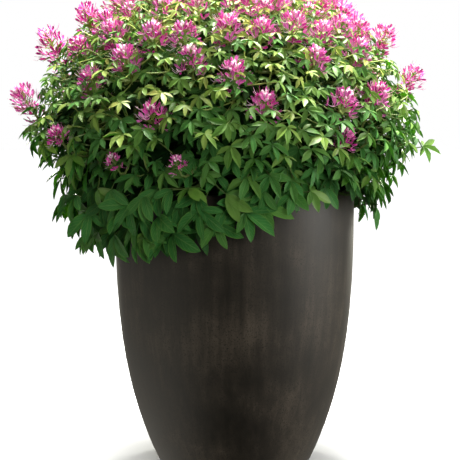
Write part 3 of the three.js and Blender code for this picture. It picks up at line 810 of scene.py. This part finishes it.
leaf_green, paint = new_finish("leaf_green")
place = paint.node("TexCoord", output="Object")
across_and_along = paint.node("UVMap", uv_map="UVMap")
across = paint.node("SeparateXYZ", {"Vector": across_and_along}, output="X")
along = paint.node("SeparateXYZ", {"Vector": across_and_along}, output="Y")
tint = paint.node("Attribute", output="Fac", attribute_name="tint")
under = paint.node("Attribute", output="Fac", attribute_name="under")
off_midrib = (across - 0.5).maths("ABSOLUTE", across - 0.5)
midrib = 1 - off_midrib.between(0.015, 0.05)
slant = (along * 9.0 + off_midrib * -5.0)
vein_wave = slant.maths("FRACT", slant) - 0.5
side_veins = (1 - vein_wave.maths("ABSOLUTE", vein_wave).between(0.02, 0.14)) * 0.5
veins = midrib.maths("MAXIMUM", midrib * 0.75, side_veins)
mottle = paint.node("TexNoise", {"Vector": place, "Scale": 45.0, "Detail": 3.0, "Roughness": 0.55})
margin = off_midrib.between(0.4, 0.5) * 0.6
level = paint.node("SeparateXYZ", {"Vector": place}, output="Z")
full_grown = level.between(0.55, 0.8).blend(rgb(64, 129, 64), rgb(74, 122, 54))
youngest = tint.between(0.0, 0.55).blend(rgb(228, 216, 118), rgb(168, 196, 86))
fresh = tint.between(0.1, 1.0).blend(youngest, full_grown)
flesh = (mottle.between(0.3, 0.7) * 0.35).blend(fresh, rgb(20, 74, 34))
upper = (veins * 0.75).blend(margin.blend(flesh, rgb(120, 164, 72)), rgb(128, 170, 90))
lower = (veins * 0.5).blend(rgb(66, 124, 64), rgb(114, 156, 90))
# Painted shade: leaves deep in the bush turn nearly black, and matt
deep_painted_shade = tint.between(1.0, 1.5)
leaf_colour = (deep_painted_shade * 0.92).blend(under.blend(upper, lower), rgb(2, 20, 4))
shaded_base = (1 - along.between(0.05, 0.45)) * tint.between(0.4, 1.1) * 0.4
leaf_colour = shaded_base.blend(leaf_colour, rgb(4, 34, 12))
relief = paint.node("Bump", {"Height": mottle * 0.2 - veins, "Strength": 0.5, "Distance": 0.0008})
surface = paint.node(
    "BsdfPrincipled",
    {
        "Base Color": leaf_colour,
        "Roughness": (deep_painted_shade * 0.5).maths("MAXIMUM", deep_painted_shade * 0.85, 0.4 + under * 0.3),
        "Specular IOR Level": 0.12,
        "Coat Weight": 0.8 - tint.between(0.3, 1.1) * 0.8,
        "Coat Roughness": 0.42,
        "Normal": relief,
    },
)
glow = paint.node("BsdfTranslucent", {"Color": (0.28, 0.57, 0.035, 1)})
thinness = 0.42 - tint.between(0.1, 1.4) * 0.32
paint.node("OutputMaterial", {"Surface": paint.node("MixShader", {0: thinness, 1: surface, 2: glow})})

for number, node in enumerate(STEM_NODES):
    copies = []
    layers = [
        (fine_kinds, main_leaves, 0),
        (young_kinds, outer_leaves[len(main_leaves):], YOUNGER),
        (inner_kinds, inner_leaves, INNER_SHADE),
    ]
    for kinds, leaves, dark in layers:
        for place, stem in leaves:
            if stem != number:
                continue
            height = min(1, max(0, (place.translation.z - TINT_FROM) / TINT_RISE))
            spread = TINT_SPREAD[0] + TINT_SPREAD[1] * height
            # Painted shade: leaves of the inner layers and leaves deep under the outline are darkened
            shaded = dark + DEPTH_SHADE * max(0, depth_of(place.translation) - SHADED_FROM)
            age_and_shade = max(0, 1.0 - TINT_FALL * height**2 + shaded + chance.uniform(-1, 0.8) * spread)
            elevation = elevation_of(place.translation)
            choices = kinds
            if kinds is not inner_kinds and elevation < HANGING_TO:
                choices = hanging_kinds
            if kinds is young_kinds and elevation > TINY_FROM:
                choices = tiny_kinds
            copies.append(planted(chance.choice(choices), place, age_and_shade))
    leaves_piece = joined("leaves_" + node[-2:], copies)
    leaves_piece.data.materials.append(leaf_green)
    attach(leaves_piece, "root")
    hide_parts(node)
leaflets = (*hem_leaflets, *light_leaflets, *plain_leaflets, *tiny_leaflets)
for model in (*leaflets, *hanging_kinds, *fine_kinds, *young_kinds, *tiny_kinds, *inner_kinds):
    bpy.data.objects.remove(model)


# Stems
# Thirteen stems stand in the soil, bend outwards and fork into thin green shoots. Each leaf hangs on a stalk
# of its own from the nearest shoot, and the longest shoots carry the flower heads.
STEM_RINGS = [
    # stems, turn of the first, foot and fork from the middle, height of the fork, leafy shoots of each
    (7, 12, 0.125, 0.214, 0.66, 9),
    (5, 30, 0.062, 0.125, 0.78, 5),
    (1, 0, 0.0, 0.0, 0.82, 3),
]
STEM_DEPTH = 0.02
STEM_RADII = (0.009, 0.0055)
SHOOT_RADII = (0.0034, 0.0019)
STALK_RADII = (0.0014, 0.0010)
SHOOT_BEND = 0.45
HEAD_SHOOT_LENGTH = 0.16
SHOOT_UNDER = 0.03
SHOOT_BEHIND = 0.012
STALK_REACH = 0.05
STALK_LEAST = 0.03


def bow(start, end, arrival, steps):
    """Points along a bow that arrives at its end in a direction."""
    bend = end - arrival * (SHOOT_BEND * (end - start).length)
    shares = [step / steps for step in range(steps + 1)]
    return [start.lerp(bend, share).lerp(bend.lerp(end, share), share) for share in shares]


def unfitness(joint, hub, behind):
    """How ill a joint suits a leaf's stalk: it is far from the point behind the leaf, or too near its hub."""
    return (joint - behind).length + 4 * max(0, STALK_LEAST - (joint - hub).length)


def tubes(name, runs, corners):
    """Round stalks as one mesh. Each run has its points, and its radius at the start and at the end."""
    lines = bpy.data.curves.new(name, "CURVE")
    lines.dimensions = "3D"
    lines.bevel_depth = 1
    lines.bevel_resolution = (corners - 4) // 2
    lines.use_fill_caps = True
    for points, (first, last) in runs:
        spline = lines.splines.new("POLY")
        spline.points.add(len(points) - 1)
        for number, (point, place) in enumerate(zip(spline.points, points)):
            point.co = (*place, 1)
            point.radius = first + (last - first) * number / (len(points) - 1)
    stalks = bpy.data.objects.new(name, lines)
    bpy.context.collection.objects.link(stalks)
    only(stalks)
    bpy.ops.object.convert(target="MESH")
    stalks = bpy.context.object
    bpy.ops.object.mode_set(mode="EDIT")
    bpy.ops.mesh.select_all(action="SELECT")
    bpy.ops.mesh.normals_make_consistent(inside=False)
    bpy.ops.object.mode_set(mode="OBJECT")
    bpy.ops.object.shade_smooth_by_angle(angle=math.radians(60))
    return stalks


stem_green, paint = new_finish("stem_green")
place = paint.node("TexCoord", output="Object")
mottle = paint.node("TexNoise", {"Vector": place, "Scale": 30.0, "Detail": 4.0})
height = paint.node("SeparateXYZ", {"Vector": place}, output="Z")
young = (height + mottle * 0.2).between(0.6, 0.95)
bark = young.blend(rgb(84, 110, 54), rgb(150, 172, 74))
shown = paint.node(
    "BsdfPrincipled",
    {
        "Base Color": (mottle.between(0.45, 0.7) * 0.4).blend(bark, rgb(100, 92, 58)),
        "Roughness": 0.5 + mottle * 0.1,
        "Normal": paint.node("Bump", {"Height": mottle, "Strength": 0.3, "Distance": 0.001}),
    },
)
paint.node("OutputMaterial", {"Surface": shown})

forks = []
for count, turn, foot, fork, height, shoots in STEM_RINGS:
    for place in range(count):
        out = flat_direction(turn + place * 360 / count)
        top = out * fork + Vector((BUSH_MIDDLE.x, 0, height))
        forks.append((out * foot + UP * (SOIL_LEVEL - STEM_DEPTH), top, shoots))
feet_of_stem = [[] for _ in STEM_NODES]
for place in all_heads:
    foot = place.translation
    nearest = min(range(len(forks)), key=lambda number: (forks[number][1] - foot).length)
    feet_of_stem[nearest].append((foot, place.col[2].xyz.normalized()))

for number, node in enumerate(STEM_NODES):
    foot, fork, shoots = forks[number]
    trunk = bow(foot, fork, (fork - foot + UP * 0.1).normalized(), 8)
    runs = [(trunk, STEM_RADII)]
    joints = trunk[5:]
    for tip, axis in feet_of_stem[number]:
        start = min(joints, key=lambda joint: abs((tip - joint).length - HEAD_SHOOT_LENGTH))
        shoot = bow(start, tip, axis, 7)
        runs.append((shoot, SHOOT_RADII))
        joints += shoot[2:]
    own = [place for place, stem in outer_leaves if stem == number]
    tips = []
    for _ in range(shoots):
        far = max(own, key=lambda leaf: min((leaf.translation - other).length for other in [*tips, fork]))
        tips.append(far.translation)
        normal = far.col[2].xyz.normalized()
        along = far.col[1].xyz.normalized()
        end = far.translation - normal * SHOOT_UNDER - along * SHOOT_BEHIND
        start = min(trunk[4:], key=lambda joint: (joint - end).length)
        shoot = bow(start, end, (normal + UP * 0.2).normalized(), 7)
        runs.append((shoot, SHOOT_RADII))
        joints += shoot[2:]
    for place, stem in [*outer_leaves, *inner_leaves]:
        if stem != number:
            continue
        hub = place.translation
        normal = place.col[2].xyz.normalized()
        along = place.col[1].xyz.normalized()
        arrival = (along * 0.5 + normal * 0.6).normalized()
        start = min(joints, key=lambda joint: unfitness(joint, hub, hub - arrival * STALK_REACH))
        runs.append((bow(start, hub - normal * 0.0005, arrival, 3), STALK_RADII))
    stalks = tubes("stems_" + node[-2:], runs, 4)
    stalks.data.materials.append(stem_green)
    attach(stalks, "root")
    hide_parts(node)


# Flower heads
# Each head is a short spike: thin stalks all round carry four-petalled flowers with long thread-like stamens,
# and a tuft of pale club-shaped buds stands on top. Small pointed bracts and green pods sit among them.
PETAL = [
    # share of the length, half width, drop
    (0.0, 0.030, 0.0),
    (0.28, 0.045, 0.05),
    (0.55, 0.120, 0.08),
    (0.82, 0.140, 0.02),
    (1.0, 0.030, -0.10),
]
PETAL_LENGTH = 0.018
PETAL_FAN = (-62, -21, 21, 62)
PETAL_LEAN = 32
PETAL_SWAY = {"turn": 12, "lean": 18, "roll": 20, "size": 0.12}
BRACT_SWAY = {"turn": 10, "lean": 15, "roll": 15, "size": 0.15}
FLOWERS = 15
YOUNG_FLOWERS = 9
GOLDEN_ANGLE = 137.508
SPIKE_HEIGHT = 0.042
SPIKE_RADII = (0.0018, 0.0010)
FLOWER_STALKS = (0.024, 0.014)
FLOWER_STALK_RADII = (0.0007, 0.0006)
THREADS = 3
THREAD_LENGTHS = (0.012, 0.022)
THREAD_RADII = (0.00045, 0.0003)
PODS = 2
POD_RADII = (0.0008, 0.0011)
BUD_STALK_RADII = (0.0007, 0.0007)
TOP_BUD_SIZE = 0.007
BUD_SIZES = (0.012, 0.016)
BUDS = 7
TOP_BUDS = 7
BRACTS = 13
YOUNG_BRACTS = 7
HEAD_KINDS = 5
YOUNG_KINDS = 3


def aimed(place, out, size):
    """The matrix of a part that grows in a direction: Z runs out along it, and Y as far up as it can."""
    side = UP.cross(out).normalized()
    turn = Matrix((side, out.cross(side), out)).transposed().to_4x4()
    return Matrix.Translation(place) @ turn @ Matrix.Scale(size, 4)


only(floor)
petal = blade("petal", PETAL, 2, 0.35)
bract = blade("bract", PLAIN_LEAFLET, 2, BLADE_FOLDS[0])
bpy.ops.mesh.primitive_uv_sphere_add(segments=6, ring_count=5, radius=1)
bud = bpy.context.object
bud.name = "bud"
bpy.ops.object.mode_set(mode="EDIT")
bpy.ops.transform.resize(value=(0.22, 0.22, 0.5))
pick(bud, "verts", lambda vertex: vertex.co.z < -0.01)
bpy.ops.transform.resize(value=(0.55, 0.55, 1), center_override=(0, 0, 0))
bpy.ops.mesh.select_all(action="SELECT")
bpy.ops.transform.translate(value=(0, 0, 0.4))
bpy.ops.object.mode_set(mode="OBJECT")
bpy.ops.object.shade_smooth()

head_kinds = []
for kind in range(HEAD_KINDS + YOUNG_KINDS):
    flowers = FLOWERS if kind < HEAD_KINDS else YOUNG_FLOWERS
    pink_parts = []
    threads = []
    green_parts = []
    green_runs = [([UP * -0.003, UP * 0.02, UP * SPIKE_HEIGHT], SPIKE_RADII)]
    for number in range(flowers):
        share = number / (flowers - 1)
        bearing = number * GOLDEN_ANGLE + chance.uniform(-14, 14)
        out = direction(bearing, -14 + 58 * share + chance.uniform(-7, 7))
        root = UP * (0.003 + 0.029 * share)
        length = FLOWER_STALKS[0] + (FLOWER_STALKS[1] - FLOWER_STALKS[0]) * share
        base = root + out * length * chance.uniform(0.8, 1.1)
        green_runs.append((bow(root, base, (out + UP * 0.5).normalized(), 3), FLOWER_STALK_RADII))
        facing = direction(bearing, 12 + 42 * share + chance.uniform(-14, 14))
        flower = aimed(base, facing, 1)
        shade = chance.uniform(0, 1)
        opening = Matrix.Rotation(math.radians(PETAL_LEAN), 4, "X")
        for angle in PETAL_FAN:
            turn = Matrix.Rotation(math.radians(angle), 4, "Z") @ opening
            sway = swayed(PETAL_LENGTH, PETAL_SWAY)
            pink_parts.append(planted(petal, flower @ turn @ sway, shade + chance.uniform(-0.2, 0.2)))
        for _ in range(THREADS if kind < HEAD_KINDS else 1):
            away = Vector((chance.uniform(-0.5, 0.5), chance.uniform(-0.5, 0.35), 1)).normalized()
            tip = flower @ (away * chance.uniform(*THREAD_LENGTHS))
            threads.append((bow(base, tip, (facing * 0.4 + UP).normalized(), 2), THREAD_RADII))
    for number in range(BUDS + TOP_BUDS):
        on_top = number >= BUDS
        share = (number - BUDS) / TOP_BUDS if on_top else number / BUDS
        lowest, highest = (35, 85) if on_top else (48, 80)
        out = direction(number * GOLDEN_ANGLE, lowest + (highest - lowest) * share + chance.uniform(-6, 6))
        root = UP * (SPIKE_HEIGHT - (0.003 if on_top else 0.013 - 0.009 * share))
        base = root + out * (0.002 if on_top else 0.009 - 0.004 * share)
        green_runs.append(([root, base], BUD_STALK_RADII))
        lean = out.to_track_quat("Z", "Y").to_matrix().to_4x4()
        size = Matrix.Scale(TOP_BUD_SIZE if on_top else chance.uniform(*BUD_SIZES), 4)
        parts = green_parts if on_top else pink_parts
        parts.append(planted(bud, Matrix.Translation(base) @ lean @ size, chance.uniform(-1, -0.4)))
    bracts = BRACTS if kind < HEAD_KINDS else YOUNG_BRACTS
    for number in range(bracts):
        share = number / bracts
        turn = Matrix.Rotation(math.radians(number * GOLDEN_ANGLE), 4, "Z")
        lean = Matrix.Rotation(math.radians(25 + 25 * share), 4, "X")
        sway = swayed(0.026 - 0.013 * share, BRACT_SWAY)
        green_parts.append(planted(bract, Matrix.Translation(UP * 0.034 * share) @ turn @ lean @ sway, 0))
    for _ in range(PODS):
        out = direction(chance.uniform(0, 360), chance.uniform(5, 35))
        pod = bow(UP * 0.004, out * 0.034 + UP * 0.008, (out + UP).normalized(), 3)
        green_runs.append((pod, POD_RADII))
    filaments = tubes("filaments", threads, 4)
    pink = joined("head_kind", [*pink_parts, planted(filaments, Matrix(), -1)])
    bpy.data.objects.remove(filaments)
    thin = tubes("thin_stalks", green_runs, 4)
    green = joined("stalk_kind", [*green_parts, planted(thin, Matrix(), 0)])
    bpy.data.objects.remove(thin)
    head_kinds.append((pink, green))

petal_pink, paint = new_finish("petal_pink")
place = paint.node("TexCoord", output="Object")
across_and_along = paint.node("UVMap", uv_map="UVMap")
across = paint.node("SeparateXYZ", {"Vector": across_and_along}, output="X")
along = paint.node("SeparateXYZ", {"Vector": across_and_along}, output="Y")
tint = paint.node("Attribute", output="Fac", attribute_name="tint")
off_middle = (across - 0.5).maths("ABSOLUTE", across - 0.5)
patchy = paint.node("TexNoise", {"Vector": place, "Scale": 60.0, "Detail": 2.0})
strength = (tint * 0.7 + patchy * 0.5).between(0.1, 0.9)
limb = strength.blend(rgb(238, 126, 206), rgb(216, 34, 158))
edge_light = off_middle.between(0.32, 0.5) * 0.45 + along.between(0.8, 1.0) * 0.25
limb = edge_light.blend(limb, rgb(252, 218, 238))
pale = (tint * -1.0).between(0.25, 0.5)
bud_colour = along.between(0.1, 0.7).blend(rgb(236, 140, 194), rgb(250, 226, 234))
petal_colour = pale.blend(limb, bud_colour)
veining = paint.node("TexWave", {"Vector": across_and_along, "Scale": 9.0, "Distortion": 1.0})
shown = paint.node(
    "BsdfPrincipled",
    {
        "Base Color": petal_colour,
        "Roughness": 0.55 + patchy * 0.1,
        "Specular IOR Level": 0.3,
        "Normal": paint.node("Bump", {"Height": veining, "Strength": 0.25, "Distance": 0.0004}),
    },
)
paint.node("OutputMaterial", {"Surface": shown})

for node in HEAD_NODES:
    pink_copies = []
    green_copies = []
    for place in (*heads[node], *small_heads[node]):
        full = place in heads[node] and elevation_of(place.translation) > 0
        kinds = head_kinds[:HEAD_KINDS] if full else head_kinds[HEAD_KINDS:]
        pink, green = chance.choice(kinds)
        spun = place @ Matrix.Rotation(chance.uniform(0, 2 * math.pi), 4, "Z")
        pink_copies.append(planted(pink, spun, 0))
        green_copies.append(planted(green, spun, 0))
    flowers = joined("flowers_" + node[-2:], pink_copies)
    flowers.data.materials.append(petal_pink)
    stalks = joined("flower_stalks_" + node[-2:], green_copies)
    stalks.data.materials.append(stem_green)
    for piece, slot in ((flowers, "petals"), (stalks, "foliage")):
        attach(piece, "root")
        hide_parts(node)
for model in (petal, bract, bud, *[part for kind in head_kinds for part in kind]):
    bpy.data.objects.remove(model)
